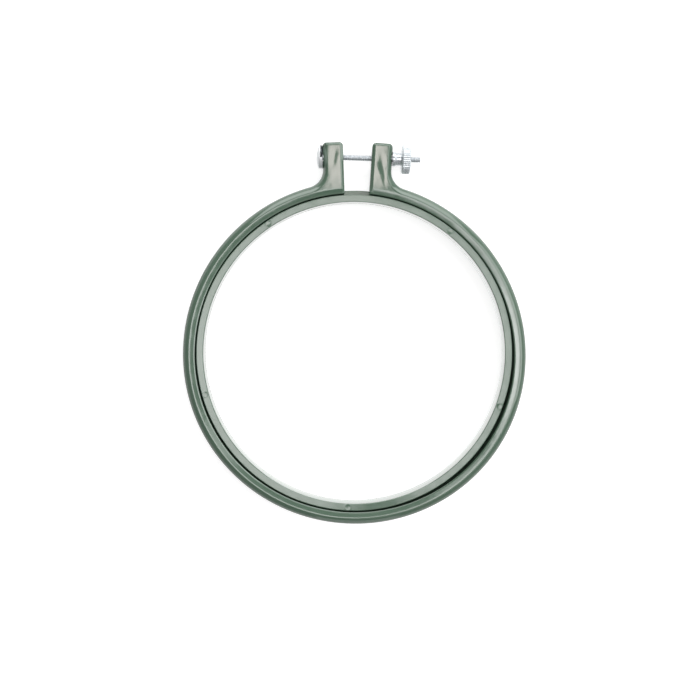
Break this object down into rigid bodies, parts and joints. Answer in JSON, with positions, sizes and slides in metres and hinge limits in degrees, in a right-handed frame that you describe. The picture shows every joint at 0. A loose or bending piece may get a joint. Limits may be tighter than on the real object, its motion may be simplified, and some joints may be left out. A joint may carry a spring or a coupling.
{
  "type": "embroidery hoop",
  "caption": "Round plastic embroidery hoop: a split outer ring with two clamp lugs over a lipped inner ring, drawn together by a screw with a knurled thumb nut.",
  "frame": {"origin": "middle of the hoop's bounding box, on the surface it lies on, which the thumb nut's wheel touches; the rings' underside is 1.7 mm above it", "axes": "+Z is the hoop's axis, from the lip side to the open face; +Y points from the ring's centre to the clamp lugs; +X points from the screw's head to the thumb nut"},
  "size_m": [0.1726, 0.1916, 0.0144],
  "materials": {
    "ring_plastic": "glossy moulded plastic in sage green, with faint turning marks on the inner ring's flat face",
    "plated_steel": "bright zinc-plated steel with a turned sheen, straight knurls on the nut"
  },
  "bodies": {
    "inner_ring": {"inner_ring": "ring_plastic"},
    "outer_ring": {"outer_ring": "ring_plastic"},
    "clamp_screw": {"clamp_screw": "plated_steel"},
    "thumb_nut": {"thumb_nut": "plated_steel"}
  },
  "joints": [
    {"name": "outer_ring_lift", "type": "slide", "parent": "inner_ring", "child": "outer_ring", "axis": [0, 0, 1], "range_m": [0, 0.02]},
    {"name": "thumb_nut_turn", "type": "hinge", "parent": "outer_ring", "child": "thumb_nut", "pos_m": [0, 0.08843, 0.0072], "axis": [0.9999, -0.0166, 0], "range_deg": [0, 3600]},
    {"name": "clamp_screw_draw", "type": "slide", "parent": "outer_ring", "child": "clamp_screw", "axis": [0.9999, -0.0166, 0], "range_m": [-0.0051, 0.0001]}
  ],
  "couplings": [
    {"joint": "clamp_screw_draw", "follows": "thumb_nut_turn", "m_per_rad": -0.000079577}
  ]
}
